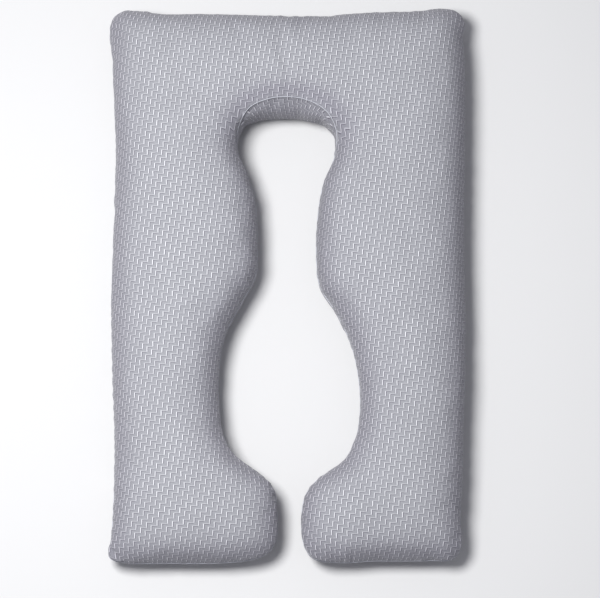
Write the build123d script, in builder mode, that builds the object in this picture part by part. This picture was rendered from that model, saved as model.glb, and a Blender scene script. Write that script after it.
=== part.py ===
from build123d import *
import os

# U-shaped body pillow with contoured arms, lying flat on its bottom panel.
# +Z is up, +Y points to the head bar, +X to the right arm, all in millimetres.
# The origin is on the resting plane, at the middle of the pillow's footprint.

# ---- driving dimensions -------------------------------------------------
head_half_width = 474.0   # outer side wall at the head bar
foot_half_width = 457.0   # outer side wall at the arms' ends
half_length = 750.0       # head bar's outer wall and the arms' ends
thickness = 190.0         # resting plane to the top of the crown
edge_round = 64.0         # rounding of the filled pillow's top and bottom edges
corner_r = 75.0           # outer corners and the arms' inner end corners

seam_z = 80.0             # height of the perimeter seam
cover_t = 1.2             # knitted jacquard cover
case_gap = 1.0            # slack between the cover and the inner case
case_t = 0.6              # non-woven inner case
fill_gap = 0.3            # slack between the inner case and the fibre
seam_half = 1.5           # half height of the sewn edge band
seam_proud = 0.8          # how far the sewn edge stands out of the cover

# Right half of the outline, from the arm's outer end corner round the inner
# contour to the middle of the neck notch: (x, y, corner radius).
outline_right = [
    (head_half_width, half_length, corner_r),
    (foot_half_width, -half_length, corner_r),
    (32.0, -half_length, corner_r),      # inner corner of the arm's end
    (34.0, -542.0, 72.0),                # upper shoulder of the end lobe
    (190.0, -453.0, 130.0),              # foot of the belly opening
    (190.0, -171.0, 300.0),              # top of the belly opening
    (79.0, 8.0, 200.0),                  # chest bulge, start of the throat
    (79.0, 225.0, 150.0),                # end of the throat
    (150.0, 456.0, 65.0),                # corner of the neck notch
]

# Zip on the left arm's outer wall, in a shallow trough along the seam.
zip_top_y = 640.0         # head-side end of the chain
zip_len = 670.0
floor_x = -459.0          # cover's outer face in the trough
trough_half = 18.0        # half height of the trough
trough_high_end = 12.0    # how far the trough runs past the chain, head side
trough_low_end = 38.0     # and at the open end, where the pull lies flat
slot_half = 5.2           # the cover's two edges stand this far from the seam line
tape_t, tape_half, tape_edge = 0.6, 16.0, 0.35
coil_t, coil_half = 2.6, 3.0
wing_t, wing_clear = 1.0, 0.15
slider_len, slider_half = 9.5, 4.2
web_half, web_len = 0.25, 3.0
slider_y = 622.0          # closed position of the slider
slider_travel = 640.0
pull_len, pull_half, pull_t = 28.0, 4.0, 1.4
pull_tilt = 25.0          # the pull stands off the wall by this many degrees

# ---- derived places -----------------------------------------------------
tape_x = floor_x + cover_t                      # tape lies against the cover's inside
zip_low_y = zip_top_y - zip_len
mid_zip_y = (zip_top_y + zip_low_y) / 2
trough_len = zip_len + trough_high_end + trough_low_end
mid_trough_y = mid_zip_y + (trough_high_end - trough_low_end) / 2
coil_x = tape_x - coil_t                        # coil's outer face
outer_wing = coil_x - wing_clear                # inner face of the outer wing
inner_wing = tape_x + tape_t + wing_clear       # outer face of the inner wing
bail_x = outer_wing - wing_t                    # the outer wing's outer face
pin_x = bail_x - 1.75                           # centre of the pull's hinge bar

os.makedirs("parts", exist_ok=True)


def left_wall(y):
    """The left arm's outer wall, which draws in slightly towards the arm's end."""
    share = (y + half_length) / (2 * half_length)
    return -(foot_half_width + share * (head_half_width - foot_half_width))


def outline_points():
    right = outline_right
    left = [(-x, y, r) for x, y, r in reversed(right)]
    return right + left


def filled(inset, z_low, z_high, trough_x, trough_h, trough_y):
    """The pillow's full shape set in by inset, with the zip's trough pressed in."""
    pts = outline_points()
    with BuildPart() as body:
        with BuildSketch(Plane.XY.offset(z_low)):
            with BuildLine():
                FilletPolyline(
                    *[(x, y) for x, y, _ in pts], radius=[r for _, _, r in pts], close=True
                )
            make_face()
            if inset:
                offset(amount=-inset, kind=Kind.ARC)
        extrude(amount=z_high - z_low)
        rims = body.edges().filter_by(lambda e: abs(e.bounding_box().size.Z) < 1e-3)
        fillet(rims, edge_round - inset)
        with Locations((trough_x - 50, mid_trough_y, seam_z)):
            Box(100, trough_len + 2 * trough_y, 2 * trough_h, mode=Mode.SUBTRACT)
    return body.part


def slab(low, high):
    """A flat slab wider than the pillow, between two heights."""
    with BuildPart() as s:
        with Locations((0, 0, (low + high) / 2)):
            Box(1200, 1800, high - low)
    return s.part


# ---- nested shapes ------------------------------------------------------
cover_out = filled(0, 0, thickness, floor_x, trough_half, 0)
cover_in = filled(cover_t, cover_t, thickness - cover_t, tape_x, trough_half + cover_t, cover_t)
d_case = cover_t + case_gap
case_x = inner_wing + wing_t + 0.6
case_out = filled(d_case, d_case, thickness - d_case, case_x, trough_half + d_case, d_case)
d_in = d_case + case_t
case_in = filled(d_in, d_in, thickness - d_in, case_x + case_t, trough_half + d_in, d_in)
d_fill = d_in + fill_gap
fill_all = filled(d_fill, d_fill, thickness - d_fill, case_x + case_t + fill_gap, trough_half + d_fill, d_fill)

# ---- cover: two flat-cut panels and the sewn edge between them ----------
with BuildPart() as zip_slot:
    with Locations((floor_x, mid_zip_y, seam_z)):
        Box(20, zip_len, 2 * slot_half)

with BuildPart() as cover_top_panel:
    add(cover_out)
    add(cover_in, mode=Mode.SUBTRACT)
    add(slab(seam_z + seam_half, thickness + 50), mode=Mode.INTERSECT)
    add(zip_slot.part, mode=Mode.SUBTRACT)
cover_top_panel.part.label = "cover_top_panel"
export_step(cover_top_panel.part, "parts/cover_top_panel.step")

with BuildPart() as cover_bottom_panel:
    add(cover_out)
    add(cover_in, mode=Mode.SUBTRACT)
    add(slab(-50, seam_z - seam_half), mode=Mode.INTERSECT)
    add(zip_slot.part, mode=Mode.SUBTRACT)
cover_bottom_panel.part.label = "cover_bottom_panel"
export_step(cover_bottom_panel.part, "parts/cover_bottom_panel.step")

with BuildPart() as cover_seam:
    pts = outline_points()
    with BuildSketch(Plane.XY.offset(seam_z - seam_half)):
        with BuildLine():
            FilletPolyline(*[(x, y) for x, y, _ in pts], radius=[r for _, _, r in pts], close=True)
        make_face()
        offset(amount=seam_proud, kind=Kind.ARC)
    extrude(amount=2 * seam_half)
    with Locations((floor_x - 50, mid_trough_y, seam_z)):
        Box(100, trough_len, 40, mode=Mode.SUBTRACT)
    add(cover_in, mode=Mode.SUBTRACT)
    add(zip_slot.part, mode=Mode.SUBTRACT)
cover_seam.part.label = "cover_seam"
export_step(cover_seam.part, "parts/cover_seam.step")

# ---- inner pillow: non-woven case, its closing seam and the fibre -------
with BuildPart() as inner_case_top:
    add(case_out)
    add(case_in, mode=Mode.SUBTRACT)
    add(slab(seam_z + 1.0, thickness + 50), mode=Mode.INTERSECT)
inner_case_top.part.label = "inner_case_top"
export_step(inner_case_top.part, "parts/inner_case_top.step")

with BuildPart() as inner_case_bottom:
    add(case_out)
    add(case_in, mode=Mode.SUBTRACT)
    add(slab(-50, seam_z - 1.0), mode=Mode.INTERSECT)
inner_case_bottom.part.label = "inner_case_bottom"
export_step(inner_case_bottom.part, "parts/inner_case_bottom.step")

with BuildPart() as inner_case_seam:
    add(case_out)
    add(case_in, mode=Mode.SUBTRACT)
    add(slab(seam_z - 1.0, seam_z + 1.0), mode=Mode.INTERSECT)
inner_case_seam.part.label = "inner_case_seam"
export_step(inner_case_seam.part, "parts/inner_case_seam.step")

arm_top_y = 225.0         # the arms' fibre ends here and the head bar's begins


def fibre(label, centre, size):
    """The part of the fibre filling that lies in one box."""
    with BuildPart() as f:
        add(fill_all)
        with Locations(centre):
            Box(*size, mode=Mode.INTERSECT)
    f.part.label = label
    export_step(f.part, f"parts/{label}.step")


fibre("fibre_fill_head", (0, arm_top_y + 300, 95), (1200, 600, 400))
fibre("fibre_fill_left_arm", (-300, arm_top_y - 600, 95), (600, 1200, 400))
fibre("fibre_fill_right_arm", (300, arm_top_y - 600, 95), (600, 1200, 400))

# ---- zip ----------------------------------------------------------------


def zip_side(side):
    """One tape and its coil; side is +1 above the seam line, -1 below."""
    z_mid = seam_z + side * (tape_edge + tape_half) / 2
    with BuildPart() as tape:
        with Locations((tape_x + tape_t / 2, mid_zip_y, z_mid)):
            Box(tape_t, zip_len, tape_half - tape_edge)
    z_coil = seam_z + side * (tape_edge + coil_half) / 2
    with BuildPart() as coil:
        with Locations((tape_x - coil_t / 2, mid_zip_y, z_coil)):
            Box(coil_t, zip_len, coil_half - tape_edge)
        # the coil's outer long edge is rounded
        round_edge = coil.edges().filter_by(Axis.Y).sort_by(Axis.X)[:2]
        fillet(round_edge, 0.8)
    return tape.part, coil.part


tape_up, coil_up = zip_side(1)
tape_low, coil_low = zip_side(-1)
for piece, label in (
    (tape_up, "zip_tape_upper"),
    (tape_low, "zip_tape_lower"),
    (coil_up, "zip_coil_upper"),
    (coil_low, "zip_coil_lower"),
):
    piece.label = label
    export_step(piece, f"parts/{label}.step")

# Two small crimped stops at the closed end, one wide one at the open end.
# They sit on the coils' outer face, clear of the slider's travel.
stop_len, stop_t = 3.0, 0.7
top_stop_y = slider_y + slider_len / 2 + stop_len / 2 + 1.2
with BuildPart() as zip_top_stops:
    with Locations(
        (coil_x - stop_t / 2, top_stop_y, seam_z + 1.7),
        (coil_x - stop_t / 2, top_stop_y, seam_z - 1.7),
    ):
        Box(stop_t, stop_len, 2.4)
    fillet(zip_top_stops.edges().filter_by(Axis.Y).sort_by(Axis.X)[:4], 0.3)
zip_top_stops.part.label = "zip_top_stops"
export_step(zip_top_stops.part, "parts/zip_top_stops.step")

with BuildPart() as zip_bottom_stop:
    with Locations((coil_x - stop_t / 2, zip_low_y + 3, seam_z)):
        Box(stop_t, stop_len, 2 * coil_half)
    fillet(zip_bottom_stop.edges().filter_by(Axis.Y).sort_by(Axis.X)[:2], 0.3)
zip_bottom_stop.part.label = "zip_bottom_stop"
export_step(zip_bottom_stop.part, "parts/zip_bottom_stop.step")

# Slider: an outer and an inner wing joined by a thin web that runs in the
# slit between the two coils, two flanges beside the coils, and a bail.
bail_out, bail_bar, bail_post, bail_half = 3.1, 1.0, 1.3, 1.1
bail_reach = 4.0
with BuildPart() as zip_slider:
    with Locations((outer_wing - wing_t / 2, slider_y, seam_z)):
        Box(wing_t, slider_len, 2 * slider_half)
    with Locations((inner_wing + wing_t / 2, slider_y, seam_z)):
        Box(wing_t, slider_len, 2 * slider_half)
    fillet(zip_slider.edges().filter_by(Axis.X), 1.6)
    with Locations(((outer_wing + inner_wing) / 2, slider_y + slider_len / 2 - web_len / 2 - 0.5, seam_z)):
        Box(inner_wing - outer_wing + 1.0, web_len, 2 * web_half)
    for side in (1, -1):
        with Locations((outer_wing + (tape_x - wing_clear - outer_wing) / 2, slider_y, seam_z + side * 3.7)):
            Box(tape_x - wing_clear - outer_wing, slider_len - 3.4, 1.0)
    # bail: two posts and the bar over them, open underneath along Z
    for end in (1, -1):
        with Locations((bail_x - bail_out / 2, slider_y + end * (bail_reach - bail_post / 2), seam_z)):
            Box(bail_out, bail_post, 2 * bail_half)
    with Locations((bail_x - bail_out - bail_bar / 2, slider_y, seam_z)):
        Box(bail_bar, 2 * bail_reach, 2 * bail_half)
    top_corners = zip_slider.edges().filter_by(Axis.Z).sort_by(Axis.X)[:2]
    fillet(top_corners, 0.8)
zip_slider.part.label = "zip_slider"
export_step(zip_slider.part, "parts/zip_slider.step")

# Pull: a flat tab with an eye whose bar passes under the bail. Its plane is
# turned off the wall about the bar, so the tip stands a little proud.
eye_in, eye_limb = 4.9, 1.1
with BuildPart() as zip_pull:
    with BuildSketch(Plane.XY.offset(-pull_t / 2)):
        with Locations((eye_in + (pull_len - eye_in) / 2, 0)):
            RectangleRounded(pull_len - eye_in, 2 * pull_half, 1.8)
        with Locations((pull_len - 5.0, 0)):
            SlotOverall(5.0, 2.4, mode=Mode.SUBTRACT)
        for side in (1, -1):
            with Locations(((eye_in + 1.0) / 2, side * (1.9 + eye_limb / 2))):
                Rectangle(eye_in + 1.0, eye_limb)
    extrude(amount=pull_t)
    with BuildSketch(Plane.XZ.offset(-(1.9 + eye_limb))):
        Circle(pull_t / 2)
    extrude(amount=2 * (1.9 + eye_limb))
# +X of the tab's own plane points to -Y, its thickness along X, then the tilt
pull_part = Pos(pin_x, slider_y, seam_z) * Rot(0, 0, -90 - pull_tilt) * Rot(90, 0, 0) * zip_pull.part
pull_part.label = "zip_pull"
export_step(pull_part, "parts/zip_pull.step")

# ---- care label: a folded blank satin tag sewn into the seam ------------
label_y, label_w, label_drop, label_t = -520.0, 40.0, 34.0, 0.5
wall_x = left_wall(label_y + label_w / 2)
with BuildPart() as care_label:
    with BuildSketch(Plane.XZ.offset(-(label_y - label_w / 2))):
        with BuildLine():
            Polyline(
                (wall_x - seam_proud, seam_z + 1.0),
                (wall_x - seam_proud - 2 * label_t, seam_z + 1.0),
                (wall_x - seam_proud - 2 * label_t, seam_z - label_drop),
                (wall_x - seam_proud, seam_z - label_drop),
                close=True,
            )
        make_face()
    extrude(amount=-label_w)
care_label.part.label = "care_label"
export_step(care_label.part, "parts/care_label.step")
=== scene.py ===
"""U-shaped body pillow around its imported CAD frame: the knitted jacquard cover's two
panels, their seam, the zip on the left arm and the blank care label."""
import math
import time

import bpy
import numpy as np
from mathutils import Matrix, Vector, geometry


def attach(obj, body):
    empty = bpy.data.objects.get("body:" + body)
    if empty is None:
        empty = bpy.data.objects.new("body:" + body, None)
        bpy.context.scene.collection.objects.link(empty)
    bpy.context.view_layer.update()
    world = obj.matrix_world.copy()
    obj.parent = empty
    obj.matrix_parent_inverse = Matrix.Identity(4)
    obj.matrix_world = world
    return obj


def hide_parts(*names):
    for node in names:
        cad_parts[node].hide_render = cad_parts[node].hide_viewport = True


T0 = time.time()
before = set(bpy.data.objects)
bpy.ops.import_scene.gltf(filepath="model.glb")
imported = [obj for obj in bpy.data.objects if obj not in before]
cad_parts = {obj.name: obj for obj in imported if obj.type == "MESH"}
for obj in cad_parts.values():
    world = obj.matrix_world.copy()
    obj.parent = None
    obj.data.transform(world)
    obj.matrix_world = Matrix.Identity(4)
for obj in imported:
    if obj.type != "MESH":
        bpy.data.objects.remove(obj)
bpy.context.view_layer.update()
MM = 0.001

# ------------------------------------------------------------------ the plan
# The filled pillow's plan outline, clockwise seen from above, in millimetres.
# Each point is (x, y, height of the seam, how far the seam has rolled up onto
# the top along the surface).
PLAN = [
    (-466.4, 758, 74, 0), (-402.1, 764.6, 76, 0), (-343.7, 756.2, 77, 0), (-225.9, 755.8, 77, 0), (-46.8, 751, 77, 0),
    (79.8, 747.4, 77, 0), (181.6, 757.4, 77, 0), (334.9, 763.5, 77, 0), (448.3, 768.1, 75, 0), (481, 735.2, 74, 0),
    (477.2, 691.1, 76, 0), (480.2, 606, 79, 0), (479.2, 496.9, 80, 0), (475.3, 338.9, 80, 0), (471.2, 177, 80, 0),
    (470, 62, 80, 0), (471.6, -84, 80, 0), (470.6, -228.1, 80, 0), (464.2, -385.2, 79, 0), (459.6, -533.1, 78, 0),
    (454, -631.1, 76, 0), (455.3, -707.9, 71, 0), (431.9, -739.2, 68, 0), (367, -744, 66, 0), (225, -745, 66, 0),
    (125, -749.2, 67, 0), (64.2, -737.5, 70, 0), (39.2, -702.6, 74, 0), (31, -637.8, 80, 0), (43.5, -566.5, 84, 0),
    (78.5, -523.2, 85, 0), (137.9, -483.9, 86, 0), (169.4, -435, 86, 0), (185, -358.7, 86, 0), (183, -264.4, 86, 0),
    (163.3, -168.5, 86, 0), (126.7, -87.2, 87, 0), (81, -10.1, 88, 0), (71.6, 60.9, 88, 0), (75, 181.4, 88, 0),
    (90.8, 273.9, 89, 2), (121, 351.4, 91, 6), (119.4, 402, 93, 24), (90.5, 428.8, 94, 46), (33.5, 446, 94, 60),
    (-43.3, 447.6, 94, 60), (-97.8, 438.5, 94, 44), (-127.1, 417.1, 93, 18), (-132.6, 366.4, 91, 4), (-106.7, 299.8, 89, 0),
    (-85.6, 225.3, 88, 0), (-78.9, 107, 88, 0), (-82.8, 21.3, 88, 0), (-119.8, -55.1, 87, 0), (-163, -141.3, 86, 0),
    (-179, -237.3, 86, 0), (-178.4, -331.7, 86, 0), (-166.6, -412.3, 86, 0), (-137, -465.4, 86, 0), (-71.6, -511.9, 85, 0),
    (-33.9, -553, 84, 0), (-25, -619.9, 80, 0), (-28.7, -691.9, 74, 0), (-56.3, -727.5, 70, 0), (-105.8, -743.2, 67, 0),
    (-181.9, -750.2, 66, 0), (-308, -750.6, 66, 0), (-423.2, -748.8, 67, 0), (-469, -734.8, 69, 0), (-464.6, -677.8, 72, 0),
    (-459.5, -567.9, 76, 0), (-459, -412.1, 79, 0), (-465.2, -282.1, 80, 0), (-470.2, -129.1, 80, 0), (-472.8, 36, 80, 0),
    (-469.6, 204.1, 80, 0), (-466.6, 338.9, 80, 0), (-474.2, 459.8, 80, 0), (-481.6, 610.6, 80, 0), (-486, 720.4, 76, 0),
]
CROWN, GIRTH0, GIRTH_P = 115.0, 160.0, 4.0     # crown height over the seam, and how it grows with the girth
BELLY = 112.0                                   # the same below the seam, before the floor flattens it
GRID = 9.5                                      # spacing of the plan mesh


def spline(points, steps):
    """Centripetal Catmull-Rom through a closed list of points (x, y, ...)."""
    P = np.asarray(points, float)
    n, out = len(P), []
    for i in range(n):
        p0, p1, p2, p3 = P[i - 1], P[i], P[(i + 1) % n], P[(i + 2) % n]
        t = [0.0]
        for a, b in ((p0, p1), (p1, p2), (p2, p3)):
            t.append(t[-1] + max(np.linalg.norm((b - a)[:2]), 1e-9) ** 0.5)
        for k in range(steps):
            u = t[1] + (t[2] - t[1]) * k / steps
            a1 = (t[1] - u) / (t[1] - t[0]) * p0 + (u - t[0]) / (t[1] - t[0]) * p1
            a2 = (t[2] - u) / (t[2] - t[1]) * p1 + (u - t[1]) / (t[2] - t[1]) * p2
            a3 = (t[3] - u) / (t[3] - t[2]) * p2 + (u - t[2]) / (t[3] - t[2]) * p3
            b1 = (t[2] - u) / (t[2] - t[0]) * a1 + (u - t[0]) / (t[2] - t[0]) * a2
            b2 = (t[3] - u) / (t[3] - t[1]) * a2 + (u - t[1]) / (t[3] - t[1]) * a3
            out.append((t[2] - u) / (t[2] - t[1]) * b1 + (u - t[1]) / (t[2] - t[1]) * b2)
    return np.array(out)


def resample(P, step):
    d = np.linalg.norm((np.roll(P, -1, 0) - P)[:, :2], axis=1)
    s = np.r_[0, np.cumsum(d)]
    n = int(round(s[-1] / step))
    t = np.linspace(0, s[-1], n, endpoint=False)
    Q = np.vstack([P, P[:1]])
    return np.column_stack([np.interp(t, s, Q[:, k]) for k in range(P.shape[1])])


def inside(P, poly):
    x, y = P[:, 0], P[:, 1]
    c = np.zeros(len(P), bool)
    for (x1, y1), (x2, y2) in zip(poly, np.roll(poly, -1, 0)):
        if y1 != y2:
            c ^= ((y1 > y) != (y2 > y)) & (x < (x2 - x1) * (y - y1) / (y2 - y1) + x1)
    return c


def nearest(P, poly):
    """Distance to the closed outline, the place along it and the nearest point."""
    a, ab = poly, np.roll(poly, -1, 0) - poly
    L2 = (ab**2).sum(1)
    dist, place, point = np.zeros(len(P)), np.zeros(len(P)), np.zeros((len(P), 2))
    for s in range(0, len(P), 1500):
        Q = P[s : s + 1500]
        t = np.clip(((Q[:, None] - a[None]) * ab[None]).sum(2) / L2[None], 0, 1)
        C = a[None] + t[..., None] * ab[None]
        D = ((Q[:, None] - C) ** 2).sum(2)
        j = D.argmin(1)
        r = np.arange(len(Q))
        dist[s : s + 1500] = np.sqrt(D[r, j])
        place[s : s + 1500] = j + t[r, j]
        point[s : s + 1500] = C[r, j]
    return dist, place, point


def smoothstep(x, a, b):
    t = np.clip((x - a) / (b - a), 0, 1)
    return t * t * (3 - 2 * t)


edge = resample(spline(PLAN, 14), 7.0)
rim = edge[:, :2]
NB = len(rim)
tang = np.roll(rim, -1, 0) - np.roll(rim, 1, 0)
tang /= np.linalg.norm(tang, axis=1)[:, None]
rim_in = np.column_stack([tang[:, 1], -tang[:, 0]])            # the outline runs clockwise
RINGS = (5.0, 10.5, 16.5, 23.5)


def triangulate():
    rings = []
    for k, r in enumerate(RINGS):
        P = rim + rim_in * r
        if k % 2:
            P = 0.5 * (P + np.roll(P, -1, 0))
        P = P[inside(P, rim)]
        P = P[nearest(P, rim)[0] > r - 0.6]
        rings.append(P)
    rings = np.vstack(rings)
    # where the outline is hollow the rings bunch up or spread, so near twins go
    keep = np.ones(len(rings), bool)
    order = np.lexsort((rings[:, 0], rings[:, 1]))
    for a in range(len(order)):
        i = order[a]
        if not keep[i]:
            continue
        for b in range(a + 1, len(order)):
            j = order[b]
            if rings[j, 1] - rings[i, 1] > 3.2:
                break
            if keep[j] and ((rings[j] - rings[i]) ** 2).sum() < 10:
                keep[j] = False
    rings = rings[keep]
    lo, hi = rim.min(0), rim.max(0)
    rows, k, y = [], 0, lo[1]
    while y < hi[1]:
        xs = np.arange(lo[0] + (GRID / 2 if k % 2 else 0), hi[0], GRID)
        rows.append(np.column_stack([xs, np.full(len(xs), y)]))
        y += GRID * math.sqrt(3) / 2
        k += 1
    G = np.vstack(rows)
    G = G[inside(G, rim)]
    G = G[nearest(G, rim)[0] > RINGS[-1] + 0.7 * GRID]
    pts = np.vstack([rim, rings, G])
    v, _, f, _, _, _ = geometry.delaunay_2d_cdt(
        [Vector(p) for p in pts], [(i, (i + 1) % NB) for i in range(NB)], [], 1, 1e-9, False
    )
    if len(v) != len(pts):
        raise RuntimeError("the triangulation added points")
    V = np.array([list(p) for p in v])
    F = np.array([list(t) for t in f if len(t) == 3])
    return V, F[inside(V[F].mean(1), rim)]


Q, TRI = triangulate()
# every face turned to look up
e1, e2 = Q[TRI[:, 1]] - Q[TRI[:, 0]], Q[TRI[:, 2]] - Q[TRI[:, 0]]
flip = e1[:, 0] * e2[:, 1] - e1[:, 1] * e2[:, 0] < 0
TRI[flip] = TRI[flip][:, ::-1]
N = len(Q)
is_rim = np.zeros(N, bool)
is_rim[:NB] = True
pairs = np.vstack([TRI[:, [0, 1]], TRI[:, [1, 2]], TRI[:, [2, 0]]])
pairs.sort(axis=1)
EDGES = np.unique(pairs, axis=0)
deg = np.bincount(EDGES.ravel(), minlength=N).astype(float)


def neighbours(x):
    """The mean of each vertex's neighbours."""
    x = np.asarray(x, float)
    if x.ndim == 1:
        s = np.bincount(EDGES[:, 0], x[EDGES[:, 1]], N) + np.bincount(EDGES[:, 1], x[EDGES[:, 0]], N)
        return s / deg
    return np.column_stack([neighbours(x[:, k]) for k in range(x.shape[1])])


def diffuse(x, times, keep=None, rate=0.6):
    x = np.array(x, float)
    for _ in range(times):
        y = x + rate * (neighbours(x) - x)
        if keep is not None:
            y[keep] = x[keep]
        x = y
    return x


def solve(rhs, fixed, values):
    """Cotangent Laplace system on the plan, by conjugate gradients."""
    a, b, c = Q[TRI[:, 0]], Q[TRI[:, 1]], Q[TRI[:, 2]]

    def cot(p, q, r):
        u, v = q - p, r - p
        return (u * v).sum(1) / np.abs(u[:, 0] * v[:, 1] - u[:, 1] * v[:, 0])

    i = np.r_[TRI[:, 1], TRI[:, 2], TRI[:, 0]]
    j = np.r_[TRI[:, 2], TRI[:, 0], TRI[:, 1]]
    w = 0.5 * np.r_[cot(a, b, c), cot(b, c, a), cot(c, a, b)]
    area = 0.5 * np.abs((b - a)[:, 0] * (c - a)[:, 1] - (b - a)[:, 1] * (c - a)[:, 0])
    mass = np.bincount(TRI.ravel(), np.repeat(area / 3, 3), N)
    diag = np.bincount(i, w, N) + np.bincount(j, w, N)

    def apply(x):
        return diag * x - np.bincount(i, w * x[j], N) - np.bincount(j, w * x[i], N)

    x = np.zeros(N)
    x[fixed] = values
    free = ~fixed
    r = np.where(free, rhs * mass - apply(x), 0)
    z = r / diag
    p = z.copy()
    rz = (r * z).sum()
    for _ in range(1200):
        Ap = np.where(free, apply(p), 0)
        al = rz / (p * Ap).sum()
        x += al * p
        r -= al * Ap
        if np.abs(r).max() < 1e-7 * max(1.0, np.abs(x).max()):
            break
        z = r / diag
        rz2 = (r * z).sum()
        p = z + rz2 / rz * p
        rz = rz2
    return x


delta, place, foot = nearest(Q, rim)
delta[:NB] = 0
inward = np.zeros((N, 2))
inner = delta > 1e-6
inward[inner] = (Q - foot)[inner] / delta[inner][:, None]
inward[:NB] = rim_in
u = solve(np.ones(N), is_rim, 0.0)
seam_h = solve(np.zeros(N), is_rim, edge[:, 2])
roll = np.maximum(np.interp(place, np.arange(NB + 1), np.r_[edge[:, 3], edge[0, 3]]), 0)
W = np.where(inner, u / np.maximum(delta, 1e-6) + delta / 2, 0)
cnt = np.bincount(EDGES[:, 0], inner[EDGES[:, 1]], N) + np.bincount(EDGES[:, 1], inner[EDGES[:, 0]], N)
sm = np.bincount(EDGES[:, 0], W[EDGES[:, 1]], N) + np.bincount(EDGES[:, 1], W[EDGES[:, 0]], N)
W[:NB] = (sm / np.maximum(cnt, 1))[:NB]
W = diffuse(W, 12)
print("plan", N, len(TRI), "girth", W.min(), W.max(), "u", np.sqrt(2 * u.max()), round(time.time() - T0, 1))


def along(values):
    """Values given round the seam, read at every vertex's place along it."""
    values = np.asarray(values, float)
    grid = np.arange(NB + 1)
    if values.ndim == 1:
        return np.interp(place, grid, np.r_[values, values[0]])
    return np.column_stack([along(values[:, k]) for k in range(values.shape[1])])


def slide(t):
    """Plan distance from the outline of a point that is t along the panel."""
    t = np.abs(t)
    k = 1.2
    near = 60 * (1 - np.cos(k * np.minimum(t, 50) / 60))
    gap50 = 50 - 60 * (1 - math.cos(k * 50 / 60))
    far = t - gap50 * 0.5 * (1 + np.cos(np.pi * np.clip((t - 50) / 80, 0, 1)))
    return np.where(t < 50, near, far)


def girth(s):
    return s / (s**GIRTH_P + GIRTH0**GIRTH_P) ** (1 / GIRTH_P)


def sheet(top):
    """The inflated panel: every plan vertex moved onto the filled pillow's surface."""
    R = 130.0
    k = np.clip(delta / R, 0, 1)
    if top:
        t = roll * (1 - k) + delta
    else:
        t = -roll * (1 - k) + delta
    d = slide(t)
    move = inward * (d - delta)[:, None]
    move = diffuse(move, 40, keep=delta < 26)
    d = np.where(delta < 26, d, np.maximum(delta + (move * inward).sum(1), 0))
    near = W * d - d * d / 2
    far = u - (delta - d) * (W - (delta + d) / 2)
    b = smoothstep(delta, 20, 60)
    up = np.maximum((1 - b) * near + b * far, 0)
    up[:NB] = np.maximum(W[:NB] * d[:NB] - d[:NB] ** 2 / 2, 0)
    g = girth(np.sqrt(2 * up))
    P = Q + move
    if top:
        z = seam_h + CROWN * g
    else:
        zb = seam_h - BELLY * g
        zb = np.maximum(0.5 * (zb + np.sqrt(zb * zb + 49.0)) - 0.3, 0)      # the floor flattens the belly
        z = np.where(t < 0, seam_h + CROWN * g, zb)
        # behind the neck the panel below the rolled-up seam is drawn tight, nearly straight down
        f = np.clip(-t / np.maximum(roll, 1e-6), 0, 1)
        tight = 0.85 * smoothstep(roll, 4, 28) * (t < 0)
        P = P + inward * (tight * (along(d[:NB]) * f - d))[:, None]
        z = z + tight * (seam_h + (along(z[:NB]) - seam_h) * f - z)
        soften = smoothstep(roll, 4, 28) * (1 - smoothstep(np.abs(t), 8, 30)) * ~is_rim
        out = np.column_stack([P, z])
        for _ in range(6):
            out = out + soften[:, None] * 0.6 * (neighbours(out) - out)
        return out, t
    return np.column_stack([P, z]), t



BOT = TRI[:, ::-1]
STEP = np.linalg.norm(np.roll(rim, -1, 0) - rim, axis=1).mean()


def normals(V, F):
    n = np.cross(V[F[:, 1]] - V[F[:, 0]], V[F[:, 2]] - V[F[:, 0]])
    out = np.column_stack([np.bincount(F.ravel(), np.repeat(n[:, k], 3), len(V)) for k in range(3)])
    return out / np.maximum(np.linalg.norm(out, axis=1), 1e-9)[:, None]


top_v, top_t = sheet(True)
bot_v, bot_t = sheet(False)

# ------------------------------------------------------------------ fabric lying flat
def flatten(V, start, pinned):
    """The panel laid flat: relaxed from start until each edge has its length on the pillow."""
    L = np.linalg.norm(V[EDGES[:, 1]] - V[EDGES[:, 0]], axis=1)
    P, v = start.copy(), np.zeros_like(Q)
    i, j = EDGES[:, 0], EDGES[:, 1]
    for _ in range(650):
        d = P[j] - P[i]
        l = np.linalg.norm(d, axis=1)
        c = d * (0.5 * (l - L) / np.maximum(l, 1e-6))[:, None]
        a = np.column_stack(
            [np.bincount(i, c[:, k], N) - np.bincount(j, c[:, k], N) for k in range(2)]
        ) / (deg / 2)[:, None]
        v = 0.93 * v + 0.25 * a
        v[pinned] = 0
        P = P + v
    P = Q + diffuse(P - Q, 6, keep=pinned)
    if pinned.any():
        return P
    a, b = P - P.mean(0), Q - Q.mean(0)
    ang = math.atan2((a[:, 0] * b[:, 1] - a[:, 1] * b[:, 0]).sum(), (a * b).sum())
    c, s_ = math.cos(ang), math.sin(ang)
    return a @ np.array([[c, s_], [-s_, c]]) + Q.mean(0)



def from_seam(V):
    """How far each vertex is from the seam, over the fabric."""
    L = np.linalg.norm(V[EDGES[:, 1]] - V[EDGES[:, 0]], axis=1)
    D = np.where(is_rim, 0.0, 1e6)
    for _ in range(70):
        np.minimum.at(D, EDGES[:, 1], D[EDGES[:, 0]] + L)
        np.minimum.at(D, EDGES[:, 0], D[EDGES[:, 1]] + L)
    return diffuse(D, 4, keep=is_rim)


none = np.zeros(N, bool)
far_top, far_bot = from_seam(top_v), from_seam(bot_v)
excess = far_top - delta
level = np.median(excess[(delta > 120) & (delta < 135)])
flat_top = flatten(
    top_v, Q + diffuse(inward * ((excess - level) * (1 - smoothstep(delta, 105, 140)))[:, None], 3), none
)
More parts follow.
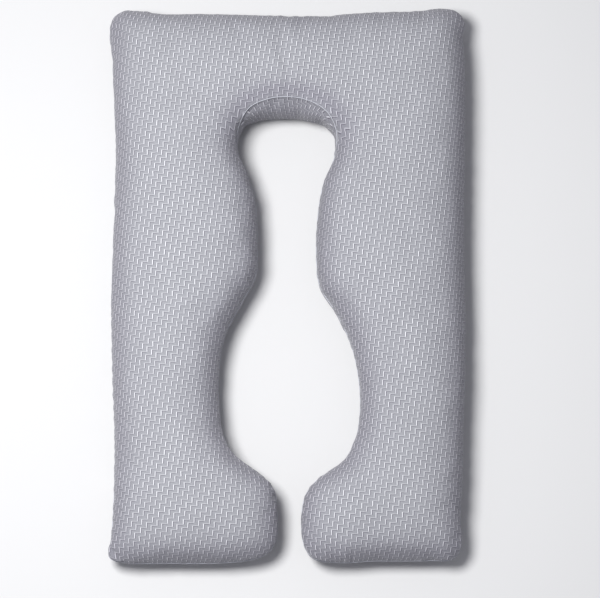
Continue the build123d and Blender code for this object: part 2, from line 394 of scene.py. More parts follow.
# both panels share the notch's cut edge; below it the bottom panel runs down the wall, a little stretched
on_wall = (roll > 4) & (bot_t < 24)
run = 0.86 * far_bot
flat_wall = along(flat_top[:NB]) + inward * run[:, None]
held_ = on_wall | (Q[:, 1] < 230)
longer = np.where(on_wall[:, None], flat_wall - flat_top, 0)
apart = np.column_stack([solve(np.zeros(N), held_, longer[held_, k]) for k in range(2)])
flat_bot = flatten(bot_v, flat_top + apart, on_wall)
print("flat", np.ptp(flat_top, axis=0), round(time.time() - T0, 1))

# ------------------------------------------------------------------ groove at the seam, slot at the zip
nt, nb_ = normals(top_v, TRI), normals(bot_v, BOT)
rim_n = nt[:NB] + nb_[:NB]
for _ in range(8):
    rim_n = rim_n + 0.25 * (np.roll(rim_n, 1, 0) + np.roll(rim_n, -1, 0) - 2 * rim_n)
rim_n /= np.linalg.norm(rim_n, axis=1)[:, None]
ry = rim[:, 1]
zone = smoothstep(ry, -80, -56) * (1 - smoothstep(ry, 650, 668)) * (rim[:, 0] < -300)
ZIP_X, ZIP_Z, SLOT = -459.2, 80.0, 5.4
GROOVE = 4.6
rim_top = top_v[:NB]
shift = {}
for key, sign in (("top", 1), ("bottom", -1)):
    to_slot = np.column_stack([ZIP_X - rim_top[:, 0], np.zeros(NB), ZIP_Z + sign * SLOT - rim_top[:, 2]])
    shift[key] = -rim_n * (GROOVE * (1 - zone))[:, None] + to_slot * zone[:, None]
near_seam = np.exp(-((delta / (11.0 - 2.0 * along(zone))) ** 2))[:, None]
top_v = top_v + along(shift["top"]) * near_seam
bot_v = bot_v + along(shift["bottom"]) * near_seam

# ------------------------------------------------------------------ gathers at the seam, soft lumps in the fill
s_at = place * STEP
ROUND = NB * STEP


def ripple(s, seed, lengths):
    r = np.random.default_rng(seed)
    out = np.zeros_like(s)
    for lam in lengths:
        n = max(1, round(ROUND / lam))
        ph, ph2 = r.uniform(0, 6.28, 2)
        slow = 0.6 + 0.4 * np.sin(2 * np.pi * s * r.integers(9, 23) / ROUND + ph2)
        out += slow * np.sin(2 * np.pi * n * s / ROUND + ph)
    return out / math.sqrt(len(lengths))


def lumps(P, seed):
    r = np.random.default_rng(seed)
    out = np.zeros(len(P))
    for lam in (95, 120, 150, 190, 240):
        a = r.uniform(0, np.pi)
        out += np.sin(2 * np.pi * (P[:, 0] * math.cos(a) + P[:, 1] * math.sin(a)) / lam + r.uniform(0, 6.28))
    return out / math.sqrt(5)


turning = np.abs(np.cross(np.roll(tang, -6, 0), np.roll(tang, 6, 0)))
bend = along(turning)
for key, V, F, seed in (("top", top_v, TRI, 3), ("bottom", bot_v, BOT, 5)):
    n = normals(V, F)
    fade = (delta / 13.0) * np.exp(1 - delta / 13.0) * smoothstep(delta, 0, 6)
    gather = ripple(s_at, 3, (27, 33, 41, 52)) + 0.5 * ripple(s_at, seed + 20, (24, 37, 61))
    far_fade = (delta / 34.0) * np.exp(1 - delta / 34.0)
    size = 0.5 * fade * gather + 0.5 * far_fade * ripple(s_at, seed + 40, (64, 83, 107))
    size *= 1 + 0.8 * bend
    size *= 1 - 0.7 * along(zone)
    size += 1.3 * smoothstep(delta, 15, 90) * lumps(Q, seed)
    if key == "bottom":
        size *= smoothstep(V[:, 2], 2, 25)
    V += n * size[:, None]
    if key == "bottom":
        V[:, 2] = np.maximum(V[:, 2], 0)


def mesh_object(name, verts_mm, faces):
    me = bpy.data.meshes.new(name)
    me.from_pydata((np.asarray(verts_mm) * MM).tolist(), [], [list(map(int, f)) for f in faces])
    me.update()
    me.polygons.foreach_set("use_smooth", [True] * len(me.polygons))
    o = bpy.data.objects.new(name, me)
    bpy.context.scene.collection.objects.link(o)
    return o


# ------------------------------------------------------------------ the fill presses the cover out
def settle():
    V = np.vstack([top_v, bot_v])
    F = np.vstack([TRI, BOT + N])
    o = mesh_object("settling", V, F)
    held = o.vertex_groups.new(name="held")
    on_floor = V[:, 2] < 1.0
    fixed = np.r_[is_rim, is_rim] | on_floor
    held.add([int(i) for i in np.where(fixed)[0]], 1.0, "REPLACE")
    m = o.modifiers.new("cloth", "CLOTH")
    c = m.settings
    c.quality = 5
    c.mass = 0.3
    c.tension_stiffness = c.compression_stiffness = 15
    c.shear_stiffness = 5
    c.bending_stiffness = 0.4
    c.shrink_min = -0.02
    c.use_pressure = True
    c.uniform_pressure_force = 4
    c.effector_weights.gravity = 0
    c.vertex_group_mass = "held"
    m.collision_settings.use_collision = False
    m.collision_settings.use_self_collision = False
    m.point_cache.frame_start, m.point_cache.frame_end = 1, 20
    scene = bpy.context.scene
    for f in range(1, 21):
        scene.frame_set(f)
    dg = bpy.context.evaluated_depsgraph_get()
    me = o.evaluated_get(dg).to_mesh()
    co = np.empty(len(me.vertices) * 3)
    me.vertices.foreach_get("co", co)
    o.evaluated_get(dg).to_mesh_clear()
    bpy.data.objects.remove(o)
    scene.frame_set(1)
    move = co.reshape(-1, 3) / MM - V
    print("cloth moved", np.abs(move).max(), np.linalg.norm(move, axis=1).mean())
    out = []
    for part in (move[:N], move[N:]):
        low = diffuse(part, 80)
        d = (part - 0.9 * low) * (0.35 + 0.5 * np.exp(-((delta / 55.0) ** 2)))[:, None]
        size = np.linalg.norm(d, axis=1)
        out.append(d * (np.minimum(size, 3.5) / np.maximum(size, 1e-9))[:, None])
    return out


dt, db = settle()
dt[is_rim] = db[is_rim] = 0
top_v += dt
bot_v += db
bot_v[:, 2] = np.maximum(bot_v[:, 2], 0)
print("cloth kept", np.linalg.norm(dt, axis=1).max(), np.linalg.norm(dt, axis=1).mean(), round(time.time() - T0, 1))


def give(o, name, values):
    """A point attribute on the mesh, one vector a vertex."""
    values = np.asarray(values, float)
    if values.shape[1] == 2:
        values = np.column_stack([values, np.zeros(len(values))])
    a = o.data.attributes.new(name, "FLOAT_VECTOR", "POINT")
    a.data.foreach_set("vector", values.ravel())


def rounded(o):
    m = o.modifiers.new("round", "SUBSURF")
    m.levels = m.render_levels = 1
    return o


seam_at = np.column_stack([delta, s_at, along(zone)])
cover_top = rounded(mesh_object("cover_top", top_v, TRI))
cover_bottom = rounded(mesh_object("cover_bottom", bot_v, BOT))
give(cover_top, "flat_mm", flat_top)
give(cover_bottom, "flat_mm", flat_bot)
give(cover_top, "seam_at", seam_at)
give(cover_bottom, "seam_at", seam_at)

# ------------------------------------------------------------------ tubes: the seam's ridge and the zip's hems
def frames(C, up):
    t = np.gradient(C, axis=0)
    t /= np.linalg.norm(t, axis=1)[:, None]
    a = up - (up * t).sum(1)[:, None] * t
    a /= np.linalg.norm(a, axis=1)[:, None]
    return a, np.cross(t, a)


def tube(name, C, up, ra, rb, sides=8, closed=False):
    """A tube along the points C: half size ra along up and rb across it. Ends are capped."""
    C, up = np.asarray(C, float), np.asarray(up, float)
    a, b = frames(C, up)
    n = len(C)
    ra, rb = np.broadcast_to(ra, n), np.broadcast_to(rb, n)
    ang = 2 * np.pi * np.arange(sides) / sides
    V = (
        C[:, None]
        + (ra[:, None] * np.cos(ang)[None])[..., None] * a[:, None]
        + (rb[:, None] * np.sin(ang)[None])[..., None] * b[:, None]
    ).reshape(-1, 3)
    F = []
    last = n if closed else n - 1
    for i in range(last):
        k, l = i * sides, ((i + 1) % n) * sides
        for q in range(sides):
            r = (q + 1) % sides
            F.append((k + q, k + r, l + r, l + q))
    if not closed:
        F.append(tuple(range(sides))[::-1])
        F.append(tuple((n - 1) * sides + q for q in range(sides)))
    o = mesh_object(name, V, F)
    s = np.repeat(np.r_[0, np.cumsum(np.linalg.norm(np.diff(C, axis=0), axis=1))], sides)
    give(o, "run_mm", np.column_stack([s, np.tile(np.arange(sides) / sides, n), np.zeros(n * sides)]))
    return o


def subdivided(P, closed=True):
    """The curve that the panels' edge has after its one subdivision."""
    a, b = np.roll(P, 1, 0), np.roll(P, -1, 0)
    out = np.empty((2 * len(P),) + P.shape[1:])
    out[0::2] = (a + 6 * P + b) / 8
    out[1::2] = (P + b) / 2
    return out


ridge = subdivided(top_v[:NB])
ridge_b = subdivided(bot_v[:NB])
ridge_n = subdivided(rim_n)
open_ = (np.linalg.norm(ridge - ridge_b, axis=1) > 0.7) & (ridge[:, 0] < -400)
start = int(np.where(open_ & ~np.roll(open_, -1))[0][0]) + 1
order = (start + np.arange(2 * NB)) % (2 * NB)
order = order[~open_[order]]
mid = 0.5 * (ridge + ridge_b)[order]
lift = 0.35
seam = tube("seam_ridge", mid + ridge_n[order] * lift, ridge_n[order], 1.35, 1.05)
zip_run = np.where(open_)[0]
zip_order = (start - len(zip_run) + np.arange(len(zip_run))) % (2 * NB)
hems = []
for name, C, sg in (("hem_upper", ridge, 1), ("hem_lower", ridge_b, -1)):
    pts = C[zip_order]
    up = np.tile([-1.0, 0, 0], (len(pts), 1))
    gap = np.linalg.norm(ridge - ridge_b, axis=1)[zip_order]
    r = 0.9 * smoothstep(gap, 0.3, 3)+0.12
    h = tube(name, pts + np.column_stack([0.35 * r, 0 * r, sg * 0.5 * r]), up, r, r)
    give(h, "flat_mm", np.repeat(np.column_stack([pts[:, 2], pts[:, 1]]), 8, 0))
    give(h, "seam_at", np.tile([3.0, 0.0, 1.0], (len(pts) * 8, 1)))
    hems.append(h)

# ------------------------------------------------------------------ the zip: tapes and coils
def tape(name, z0, z1):
    ys = np.linspace(-72, 653, 146)
    zs = np.linspace(z0, z1, 7)
    V = []
    for y in ys:
        for z in zs:
            V.append((-458.15 + 0.12 * math.sin(y / 9.0) * abs(z - z0) / 15, y, z))
    for y in ys:
        for z in zs:
            V.append((-457.55 + 0.12 * math.sin(y / 9.0) * abs(z - z0) / 15, y, z))
    n, w = len(ys), len(zs)
    F = []
    for i in range(n - 1):
        for k in range(w - 1):
            a = i * w + k
            F.append((a, a + 1, a + w + 1, a + w))
            F.append((n * w + a, n * w + a + w, n * w + a + w + 1, n * w + a + 1))
    edge_loop = [i * w for i in range(n)] + [(n - 1) * w + k for k in range(1, w)]
    edge_loop += [i * w + w - 1 for i in range(n - 2, -1, -1)] + [k for k in range(w - 2, 0, -1)]
    for a, b in zip(edge_loop, edge_loop[1:] + edge_loop[:1]):
        F.append((a, b, n * w + b, n * w + a))
    o = mesh_object(name, V, F)
    give(o, "run_mm", np.array([(v[1], v[2], 0) for v in V]))
    return o


tape_up, tape_low = tape("tape_upper", 80.35, 95.5), tape("tape_lower", 79.65, 64.5)


def coil(name, zc, sg):
    pitch, y0, y1 = 1.45, -29.4, 639.4
    turns = int((y1 - y0) / pitch)
    m = 14
    th = 2 * np.pi * np.arange(turns * m) / m
    adv = np.arange(turns * m) / m
    # each turn goes down one leg, round the head by the middle of the zip and back
    head = 0.5 * (1 + np.cos(th))
    C = np.column_stack(
        [
            -460.35 + 0.92 * np.sin(th),
            y0 + pitch * (adv + 0.10 * np.sin(2 * th)),
            zc - sg * 1.12 * np.cos(th) * (1.0 + 0.0 * head),
        ]
    )
    up = np.column_stack([np.sin(th), np.zeros(len(th)), -sg * np.cos(th)])
    o = tube(name, C, up, 0.30 + 0.08 * head, 0.34 + 0.16 * head, sides=5)
    return o


coil_up, coil_low = coil("coil_upper", 81.87, 1), coil("coil_lower", 78.13, -1)

# ------------------------------------------------------------------ the care label: blank, sewn in the seam
dg = bpy.context.evaluated_depsgraph_get()
from mathutils.bvhtree import BVHTree
walls = [BVHTree.FromObject(o, dg) for o in (cover_top, cover_bottom)]


def wall(y, z):
    """x of the cover's left outer wall at this y and height, in mm."""
    best = None
    for b in walls:
        for dz in (0.0, -2.0):
            hit = b.ray_cast(Vector((-0.7, y * MM, (z + dz) * MM)), Vector((1, 0, 0)))
            if hit[0] is not None:
                x = hit[0].x / MM
                best = x if best is None else min(best, x)
    return best


LAB_Y, LAB_W, LAB_TOP, LAB_H = -520.0, 40.0, 77.0, 34.0
nu, nv = 16, 14
lab = []
for a in range(nu + 1):
    y = LAB_Y - LAB_W / 2 + LAB_W * a / nu
    x = None
    for b in range(nv + 1):
        z = LAB_TOP - LAB_H * b / nv
        surf = wall(y, z) - 0.9
        if x is None:
            x = surf + 0.5
        else:
            x = min(surf, x + 0.10 * LAB_H / nv)
        lab.append([x, y, z])
lab = np.array(lab)
wavy = 0.5 * np.sin((lab[:, 1] - LAB_Y) / 9.0 + 0.6) * ((LAB_TOP - lab[:, 2]) / LAB_H) ** 2
lab[:, 0] -= np.abs(wavy) + 0.3 * ((LAB_TOP - lab[:, 2]) / LAB_H) ** 2
front = lab.copy()
front[:, 0] -= 0.25
back = lab.copy()
back[:, 0] += 0.25
LV = np.vstack([front, back])
nl = len(front)
LF = []
for a in range(nu):
    for b in range(nv):
        i = a * (nv + 1) + b
        LF.append((i, i + 1, i + nv + 2, i + nv + 1))
        LF.append((nl + i, nl + i + nv + 1, nl + i + nv + 2, nl + i + 1))
loop = [b for b in range(nv + 1)] + [a * (nv + 1) + nv for a in range(1, nu + 1)]
loop += [nu * (nv + 1) + b for b in range(nv - 1, -1, -1)] + [a * (nv + 1) for a in range(nu - 1, 0, -1)]
for i, j in zip(loop, loop[1:] + loop[:1]):
    LF.append((i, nl + i, nl + j, j))
label = rounded(mesh_object("label", LV, LF))
give(label, "run_mm", np.column_stack([LV[:, 1] - LAB_Y, LAB_TOP - LV[:, 2], np.zeros(len(LV))]))

# ------------------------------------------------------------------ inside: the case and its filling
def inside_of(depth, back, uneven=0.0):
    """The two panels moved in: by depth over the face, and by back more along the seam."""
    near = np.exp(-((delta / 30.0) ** 2))[:, None]
    out = []
    for V, F, seed in ((top_v, TRI, 21), (bot_v, BOT, 22)):
        P = V - normals(V, F) * (depth + uneven * np.abs(lumps(Q * 2.2, seed)))[:, None] * (1 - near)
        P[:, :2] += inward * (depth + back) * near
        out.append(P)
    both = 0.5 * (out[0][:NB] + out[1][:NB])
    out[0][:NB] = out[1][:NB] = both
    return out


case_v = inside_of(4.0, 10.0)
case_top = mesh_object("case_top", case_v[0], TRI)
case_bottom = mesh_object("case_bottom", case_v[1], BOT)
give(case_top, "flat_mm", flat_top)
give(case_bottom, "flat_mm", flat_bot)
case_seam = tube("case_seam", case_v[0][:NB] + np.column_stack([-0.6 * rim_in, np.zeros(NB)]), rim_n, 0.9, 0.9, sides=6, closed=True)

import bmesh

fill_v = inside_of(7.0, 13.0, 1.2)
free_of_rim = np.where(is_rim, np.arange(N), np.arange(N) + N - NB)
fill_all = mesh_object("fill_all", np.vstack([fill_v[0], fill_v[1][NB:]]), np.vstack([TRI, free_of_rim[BOT]]))
give(fill_all, "flat_mm", np.vstack([flat_top, flat_bot[NB:]]))


def filling(name, cuts):
    """The closed part of the fibre on one side of each cut plane, with its cut ends closed."""
    bm = bmesh.new()
    bm.from_mesh(fill_all.data)
    for co_, no in cuts:
        r = bmesh.ops.bisect_plane(
            bm, geom=bm.verts[:] + bm.edges[:] + bm.faces[:], plane_co=Vector(co_) * MM, plane_no=Vector(no), clear_inner=True
        )
        loop_ = [e for e in r["geom_cut"] if isinstance(e, bmesh.types.BMEdge) and e.is_boundary]
        if loop_:
            bmesh.ops.edgeloop_fill(bm, edges=loop_)
    bmesh.ops.triangulate(bm, faces=[f for f in bm.faces if len(f.verts) > 4])
    me = bpy.data.meshes.new(name)
    bm.to_mesh(me)
    bm.free()
    o = bpy.data.objects.new(name, me)
    bpy.context.scene.collection.objects.link(o)
    return o


fills = [
    filling("fibre_head", [((0, 226, 0), (0, 1, 0))]),
    filling("fibre_left_arm", [((0, 224, 0), (0, -1, 0)), ((0, 0, 0), (-1, 0, 0))]),
    filling("fibre_right_arm", [((0, 224, 0), (0, -1, 0)), ((0, 0, 0), (1, 0, 0))]),
]
bpy.data.objects.remove(fill_all)
print("inside", [len(o.data.polygons) for o in fills], round(time.time() - T0, 1))

# ------------------------------------------------------------------ who stands for what
for o, nodes in (
    (cover_top, ("cover_top_panel",)),
    (cover_bottom, ("cover_bottom_panel",)),
    (seam, ("cover_seam",)),
    (tape_up, ("zip_tape_upper",)),
    (tape_low, ("zip_tape_lower",)),
    (coil_up, ("zip_coil_upper",)),
    (coil_low, ("zip_coil_lower",)),
    (label, ("care_label",)),
    (case_top, ("inner_case_top",)),
    (case_bottom, ("inner_case_bottom",)),
    (case_seam, ("inner_case_seam",)),
    (fills[0], ("fibre_fill_head",)),
    (fills[1], ("fibre_fill_left_arm",)),
    (fills[2], ("fibre_fill_right_arm",)),
    (hems[0], ()),
    (hems[1], ()),
):
    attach(o, "pillow")
    if nodes:
        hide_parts(*nodes)

# ------------------------------------------------------------------ materials
class Net:
    """Short names for the nodes of one material."""

    def __init__(self, name):
        self.mat = bpy.data.materials.new(name)
        self.mat.use_nodes = True
        self.t = self.mat.node_tree
        self.n = self.t.nodes
        self.bsdf = self.n["Principled BSDF"]

    def put(self, socket, value):
        if isinstance(value, bpy.types.NodeSocket):
            self.t.links.new(value, socket)
        else:
            socket.default_value = value

    def m(self, op, a, b=None, c=None, clamp=False):
        k = self.n.new("ShaderNodeMath")
        k.operation = op
        k.use_clamp = clamp
        self.put(k.inputs[0], a)
        if b is not None:
            self.put(k.inputs[1], b)
        if c is not None:
            self.put(k.inputs[2], c)
        return k.outputs[0]

    def add(self, a, b):
        return self.m("ADD", a, b)

    def sub(self, a, b):
        return self.m("SUBTRACT", a, b)

    def mul(self, a, b):
        return self.m("MULTIPLY", a, b)

    def fall(self, x, a, b):
        """1 below a, 0 above b, smooth between."""
        k = self.n.new("ShaderNodeMapRange")
        k.interpolation_type = "SMOOTHSTEP"
        self.put(k.inputs["Value"], x)
        k.inputs["From Min"].default_value, k.inputs["From Max"].default_value = a, b
        k.inputs["To Min"].default_value, k.inputs["To Max"].default_value = 1.0, 0.0
        return k.outputs["Result"]

    def attr(self, name):
        k = self.n.new("ShaderNodeAttribute")
        k.attribute_type = "GEOMETRY"
        k.attribute_name = name
        return k.outputs["Vector"]

    def split(self, v):
        k = self.n.new("ShaderNodeSeparateXYZ")
        self.put(k.inputs[0], v)
        return k.outputs[0], k.outputs[1], k.outputs[2]

    def join(self, x, y, z=0.0):
        k = self.n.new("ShaderNodeCombineXYZ")
        for i, v in enumerate((x, y, z)):
            self.put(k.inputs[i], v)
        return k.outputs[0]

    def noise(self, v, scale, detail=2.0, rough=0.5):
        k = self.n.new("ShaderNodeTexNoise")
        self.put(k.inputs["Vector"], v)
        k.inputs["Scale"].default_value = scale
        k.inputs["Detail"].default_value = detail
        k.inputs["Roughness"].default_value = rough
        return k.outputs["Fac"]

    def mix(self, f, a, b):
        k = self.n.new("ShaderNodeMix")
        k.data_type = "RGBA"
        self.put(k.inputs[0], f)
        self.put(k.inputs[6], a)
        self.put(k.inputs[7], b)
        return k.outputs[2]

    def scale_colour(self, col, f):
        k = self.n.new("ShaderNodeVectorMath")
        k.operation = "SCALE"
        self.put(k.inputs[0], col)
        self.put(k.inputs["Scale"], f)
        return k.outputs[0]

    def times(self, a, b):
        k = self.n.new("ShaderNodeVectorMath")
        k.operation = "MULTIPLY"
        self.put(k.inputs[0], a)
        self.put(k.inputs[1], b)
        return k.outputs[0]

    def bump(self, height, strength, distance, normal=None):
        k = self.n.new("ShaderNodeBump")
        k.inputs["Strength"].default_value = strength
        k.inputs["Distance"].default_value = distance
        self.put(k.inputs["Height"], height)
        if normal is not None:
            self.put(k.inputs["Normal"], normal)
        return k.outputs[0]


def knit():
    """Jacquard knit: raised pale bars joined into staircases on a mottled grey-lavender ground, with painted shadows
    beside the bars and painted shade towards the seam.
    """
    g = Net("knit")
    x, y, _ = g.split(g.attr("flat_mm"))
    pos = g.join(x, y)
    wob = g.sub(g.noise(pos, 0.055, 2.0), 0.5)
    wob2 = g.sub(g.noise(g.join(y, x, 7.0), 0.06, 2.0), 0.5)
    xw = g.add(x, g.mul(wob, 2.4))
    yw = g.add(y, g.mul(wob2, 2.4))
    col = g.m("FLOOR", g.add(g.mul(g.sub(xw, g.mul(yw, 1 / 6)), 1 / 13.383), 0.5))

    def cell(k):
        Y = g.add(g.add(yw, g.mul(k, 8.3)), 4.0)
        row = g.m("FLOOR", g.mul(Y, 1 / 21.6))
        yl = g.sub(g.sub(Y, g.mul(row, 21.6)), 4.0)
        xl = g.sub(g.sub(xw, g.mul(k, 12.0)), g.mul(row, 3.6))
        return xl, yl, row

    def box(u, c, half, soft):
        return g.fall(g.m("ABSOLUTE", g.sub(u, c)), half - soft, half + soft)

    xl, yl, row = cell(col)
    # each stitch's own strength
    own = g.n.new("ShaderNodeTexWhiteNoise")
    own.noise_dimensions = "2D"
    g.put(own.inputs["Vector"], g.join(col, row))
    own = own.outputs["Value"]
    bar = g.mul(box(xl, 0.0, 1.25, 0.5), box(yl, 6.6, 6.9, 0.9))
    armA = g.mul(box(yl, 13.2, 0.8, 0.45), box(xl, 7.4, 7.4, 0.8))
    # painted shadows of the raised stitches: a dark strip right of each bar, a fainter one left of it, and one under
    # each arm
    shade = g.mul(box(xl, 2.35, 0.9, 0.6), box(yl, 6.0, 6.6, 1.2))
    shade = g.add(shade, g.mul(box(xl, -2.2, 0.6, 0.5), g.mul(box(yl, 6.0, 6.6, 1.2), 0.45)))
    under_shadow = g.mul(box(yl, 11.5, 0.7, 0.5), box(xl, 8.2, 6.0, 1.0))
    xl2, yl2, _ = cell(g.sub(col, 1.0))
    armB = g.mul(box(yl2, 13.2, 0.8, 0.45), box(xl2, 7.4, 7.4, 0.8))
    under_shadowB = g.mul(box(yl2, 11.5, 0.7, 0.5), box(xl2, 8.2, 6.0, 1.0))
    arm = g.m("MAXIMUM", armA, armB)
    faint = g.add(0.30, g.mul(g.noise(g.join(x, y, 11.0), 0.045, 2.0), 0.32))
    raised = g.m("MAXIMUM", g.mul(bar, g.add(0.66, g.mul(own, 0.34))), g.mul(arm, faint))
    # dark: all the painted shadows together, kept off the raised stitches
    dark = g.m("MINIMUM", g.add(shade, g.m("MAXIMUM", under_shadow, under_shadowB)), 1.0)
    dark = g.mul(dark, g.sub(1.0, raised))
    # the yarn: fine ribs across and along
    ribs = g.mul(
        g.m("SINE", g.mul(xw, 2 * math.pi / 1.15)), g.m("SINE", g.mul(yw, 2 * math.pi / 0.95))
    )
    mottle = g.sub(g.noise(pos, 0.28, 3.0, 0.65), 0.5)
    wide = g.sub(g.noise(pos, 0.012, 2.0), 0.5)
    dist, run, zip_ = g.split(g.attr("seam_at"))
    # the ground, turned to the painted shadow colour where dark is set
    base = g.mix(dark, (0.345, 0.347, 0.374, 1), (0.178, 0.170, 0.205, 1))
    base = g.mix(raised, base, (0.83, 0.83, 0.86, 1))
    tone = g.add(1.0, g.add(g.mul(mottle, 0.30), g.add(g.mul(wide, 0.10), g.mul(ribs, 0.05))))
    # painted shade in the groove along the seam: the tone is darker within 7 mm of it
    groove_shade = g.fall(dist, 0.0, 7.0)
    tone = g.mul(tone, g.sub(1.0, g.mul(groove_shade, 0.14)))
    # painted shade: the colour darkens and turns purple towards the seam (slightly teal far from it), a tone curve
    # fitted to brightness against distance from the outline, eased again right at the seam
    painted_edge_shade = g.add(g.mul(g.fall(dist, 20.0, 84.0), 0.62), g.mul(g.fall(dist, 20.0, 155.0), 0.38))
    painted_edge_shade = g.sub(painted_edge_shade, g.mul(g.fall(dist, 6.0, 34.0), 0.30))
    painted_edge_shade = g.mix(painted_edge_shade, (1.0, 1.010, 1.008, 1), (0.722, 0.710, 0.750, 1))
    # the stitched line beside the zip
    line = g.mul(box(dist, 4.6, 0.45, 0.3), g.m("GREATER_THAN", zip_, 0.5))
    dash = g.m("GREATER_THAN", g.m("SINE", g.mul(run, 2 * math.pi / 3.4)), -0.45)
    thread = g.mul(line, dash)
    base = g.mix(thread, base, (0.72, 0.73, 0.78, 1))
    # the base colour times its tone and the painted edge shade
    g.put(g.bsdf.inputs["Base Color"], g.times(g.scale_colour(base, tone), painted_edge_shade))
    height = g.add(g.mul(raised, 1.0), g.mul(dark, -0.45))
    height = g.add(height, g.add(g.mul(ribs, 0.10), g.mul(mottle, 0.35)))
    height = g.add(height, g.add(g.mul(thread, 0.5), g.mul(line, -0.35)))
    g.put(g.bsdf.inputs["Normal"], g.bump(height, 0.75, 0.0011))
    g.put(g.bsdf.inputs["Roughness"], g.sub(0.86, g.mul(raised, 0.16)))
    g.bsdf.inputs["Sheen Weight"].default_value = 0.18
    g.bsdf.inputs["Sheen Roughness"].default_value = 0.45
    g.bsdf.inputs["Specular IOR Level"].default_value = 0.25
    return g.mat


def yarn(name, base, dark, pitch, spec=0.25, rough=0.75, depth=0.0004):
    """A stitched or wound thread: light twists along its run."""
    g = Net(name)
    s, a, _ = g.split(g.attr("run_mm"))
    tw = g.m("SINE", g.add(g.mul(s, 2 * math.pi / pitch), g.mul(a, 2 * math.pi)))
    f = g.add(0.5, g.mul(tw, 0.5))
    mot = g.noise(g.join(s, a, 3.0), 0.9, 2.0)
    col = g.mix(f, dark, base)
    g.put(g.bsdf.inputs["Base Color"], g.scale_colour(col, g.add(0.9, g.mul(mot, 0.2))))
    g.put(g.bsdf.inputs["Normal"], g.bump(f, 0.8, depth))
    g.bsdf.inputs["Roughness"].default_value = rough
    g.bsdf.inputs["Specular IOR Level"].default_value = spec
    return g.mat


def woven(name, warp, weft, pitch, rough=0.7, sheen=0.2, herring=False, spec=0.3):
    """A woven ribbon: warp and weft floats in small squares, or a herringbone tape."""
    g = Net(name)
    u, v, _ = g.split(g.attr("run_mm"))
    if herring:
        v2 = g.m("PINGPONG", v, 2.4)
        w = g.m("SINE", g.mul(g.add(u, g.mul(v2, 1.0)), 2 * math.pi / pitch))
    else:
        w = g.mul(g.m("SINE", g.mul(u, 2 * math.pi / pitch)), g.m("SINE", g.mul(v, 2 * math.pi / pitch)))
    f = g.add(0.5, g.mul(w, 0.5))
    mot = g.noise(g.join(u, v, 1.0), 0.35, 3.0)
    col = g.mix(f, weft, warp)
    g.put(g.bsdf.inputs["Base Color"], g.scale_colour(col, g.add(0.92, g.mul(mot, 0.16))))
    g.put(g.bsdf.inputs["Normal"], g.bump(f, 0.5, 0.0002))
    g.bsdf.inputs["Roughness"].default_value = rough
    g.bsdf.inputs["Sheen Weight"].default_value = sheen
    g.bsdf.inputs["Specular IOR Level"].default_value = spec
    return g.mat


def nonwoven():
    """Thin white spun-bonded cloth: a grid of small pressed dots over a cloudy web."""
    g = Net("nonwoven")
    u, v, _ = g.split(g.attr("flat_mm"))
    a, b = g.add(u, v), g.sub(u, v)
    dot = g.mul(g.m("SINE", g.mul(a, 2 * math.pi / 2.4)), g.m("SINE", g.mul(b, 2 * math.pi / 2.4)))
    dot = g.fall(g.m("ABSOLUTE", dot), 0.45, 0.8)
    web = g.noise(g.join(u, v, 2.0), 0.22, 4.0, 0.7)
    col = g.mix(dot, (0.74, 0.75, 0.76, 1), (0.83, 0.83, 0.83, 1))
    g.put(g.bsdf.inputs["Base Color"], g.scale_colour(col, g.add(0.92, g.mul(web, 0.16))))
    g.put(g.bsdf.inputs["Normal"], g.bump(g.add(dot, g.mul(web, 0.5)), 0.5, 0.0002))
    g.bsdf.inputs["Roughness"].default_value = 0.8
    return g.mat


def wadding():
    """Loose polyester fibre: white strands in soft clumps."""
    g = Net("wadding")
    u, v, _ = g.split(g.attr("flat_mm"))
    clump = g.noise(g.join(u, v, 5.0), 0.03, 3.0, 0.6)
    strand = g.noise(g.join(g.mul(g.add(u, g.mul(clump, 60.0)), 0.9), g.mul(v, 0.12), 7.0), 1.0, 4.0, 0.7)
    col = g.mix(strand, (0.70, 0.70, 0.69, 1), (0.90, 0.90, 0.89, 1))
    g.put(g.bsdf.inputs["Base Color"], g.scale_colour(col, g.add(0.88, g.mul(clump, 0.2))))
    g.put(g.bsdf.inputs["Normal"], g.bump(g.add(strand, clump), 0.8, 0.002))
    g.bsdf.inputs["Roughness"].default_value = 0.95
    g.bsdf.inputs["Sheen Weight"].default_value = 0.3
    return g.mat


def satin_label():
    """A blank satin label with two stitched edges."""
    g = Net("label_satin")
    u, v, _ = g.split(g.attr("run_mm"))
    w = g.m("SINE", g.mul(v, 2 * math.pi / 0.5))
    mot = g.noise(g.join(u, g.mul(v, 3.0), 1.0), 0.25, 3.0)
    selv = g.fall(g.sub(20.0, g.m("ABSOLUTE", u)), 0.9, 1.7)
    hem = g.fall(g.sub(34.0, v), 1.0, 2.0)
    edge_ = g.m("MAXIMUM", selv, hem)
    col = g.mix(edge_, (0.80, 0.80, 0.80, 1), (0.62, 0.62, 0.64, 1))
    g.put(g.bsdf.inputs["Base Color"], g.scale_colour(col, g.add(0.94, g.mul(mot, 0.12))))
    g.put(g.bsdf.inputs["Normal"], g.bump(g.add(g.mul(w, 0.3), g.mul(edge_, 0.8)), 0.4, 0.0002))
    g.bsdf.inputs["Roughness"].default_value = 0.42
    g.bsdf.inputs["Anisotropic"].default_value = 0.5
    return g.mat


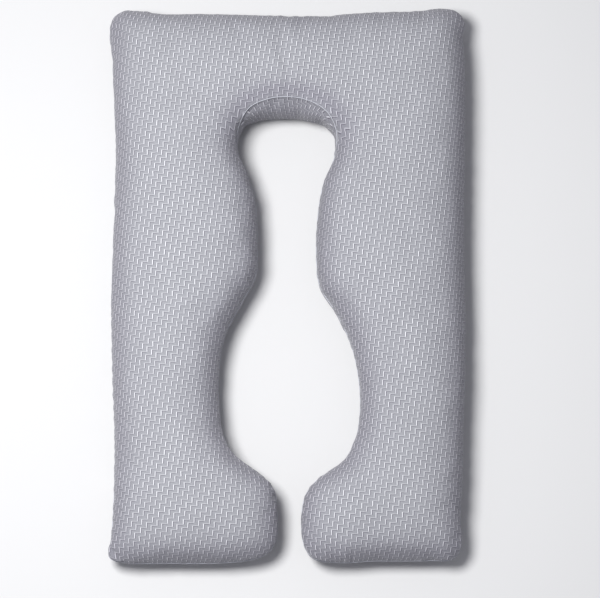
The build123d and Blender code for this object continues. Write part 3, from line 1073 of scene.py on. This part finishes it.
def enamel():
    """White lacquer on cast zinc, worn a little in small scattered patches."""
    g = Net("zip_enamel")
    tc = g.n.new("ShaderNodeTexCoord").outputs["Object"]
    mot = g.noise(tc, 600.0, 3.0)
    big = g.noise(tc, 90.0, 2.0)
    wear = g.fall(g.sub(1.0, g.noise(tc, 900.0, 4.0, 0.7)), 0.30, 0.40)
    col = g.mix(wear, (0.78, 0.78, 0.80, 1), (0.50, 0.50, 0.52, 1))
    g.put(g.bsdf.inputs["Base Color"], g.scale_colour(col, g.add(0.95, g.mul(big, 0.1))))
    g.put(g.bsdf.inputs["Roughness"], g.add(0.30, g.mul(mot, 0.18)))
    g.put(g.bsdf.inputs["Normal"], g.bump(mot, 0.15, 0.0001))
    g.bsdf.inputs["Coat Weight"].default_value = 0.3
    return g.mat


knit_mat = knit()
for o in (cover_top, cover_bottom, hems[0], hems[1]):
    o.data.materials.append(knit_mat)
seam.data.materials.append(yarn("seam_thread", (0.66, 0.67, 0.72, 1), (0.40, 0.41, 0.46, 1), 3.1))
for o in (tape_up, tape_low):
    if not o.data.materials:
        o.data.materials.append(None)
tape_mat = woven("zip_tape", (0.52, 0.53, 0.57, 1), (0.38, 0.39, 0.43, 1), 1.3, herring=True)
for o in (tape_up, tape_low):
    o.data.materials[0] = tape_mat
coil_mat = yarn("zip_coil", (0.74, 0.75, 0.78, 1), (0.66, 0.67, 0.70, 1), 1.45, spec=0.5, rough=0.35, depth=0.00005)
for o in (coil_up, coil_low):
    o.data.materials.append(coil_mat)
label.data.materials.append(satin_label())
inner_mat, wadding_mat = nonwoven(), wadding()
for o in (case_top, case_bottom):
    o.data.materials.append(inner_mat)
case_seam.data.materials.append(yarn("case_thread", (0.84, 0.84, 0.84, 1), (0.70, 0.70, 0.71, 1), 2.2))
for o in fills:
    o.data.materials.append(wadding_mat)
enamel_mat = enamel()
for node in ("zip_slider", "zip_pull", "zip_top_stops", "zip_bottom_stop"):
    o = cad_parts[node]
    for sl in o.material_slots:
        sl.material = enamel_mat

# ------------------------------------------------------------------ stage
floor = mesh_object("floor", [(-6000, -6000, 0), (6000, -6000, 0), (6000, 6000, 0), (-6000, 6000, 0)], [(0, 1, 2, 3)])
fm = Net("pale_floor")
fm.bsdf.inputs["Base Color"].default_value = (0.70, 0.70, 0.70, 1)
fm.bsdf.inputs["Roughness"].default_value = 0.95
floor.data.materials.append(fm.mat)

world = bpy.data.worlds.new("studio")
world.use_nodes = True
world.node_tree.nodes["Background"].inputs["Color"].default_value = (0.97, 0.98, 1.08, 1)
world.node_tree.nodes["Background"].inputs["Strength"].default_value = 0.29
bpy.context.scene.world = world
bpy.context.scene.view_settings.view_transform = "Standard"


def area_light(name, place_, target, size, power):
    li = bpy.data.lights.new(name, "AREA")
    li.shape = "DISK"
    li.size = size
    li.energy = power
    o = bpy.data.objects.new(name, li)
    bpy.context.scene.collection.objects.link(o)
    o.location = place_
    o.rotation_euler = (Vector(target) - Vector(place_)).to_track_quat("-Z", "Y").to_euler()
    return o


area_light("key", (-1.15, -0.02, 3.9), (0, 0, 0), 1.5, 186)

cam = bpy.data.cameras.new("camera")
cam.sensor_width = 36
cam.lens = 180.734
cam.clip_end = 60
co = bpy.data.objects.new("camera", cam)
bpy.context.scene.collection.objects.link(co)
tilt = math.radians(13.5)
aim = Vector((0.03136, -0.04354, 0.09))
fwd = Vector((0, math.sin(tilt), -math.cos(tilt)))
co.location = aim - 8.0 * fwd
co.rotation_euler = fwd.to_track_quat("-Z", "Y").to_euler()
bpy.context.scene.camera = co

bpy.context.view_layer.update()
print("seconds", round(time.time() - T0, 1))
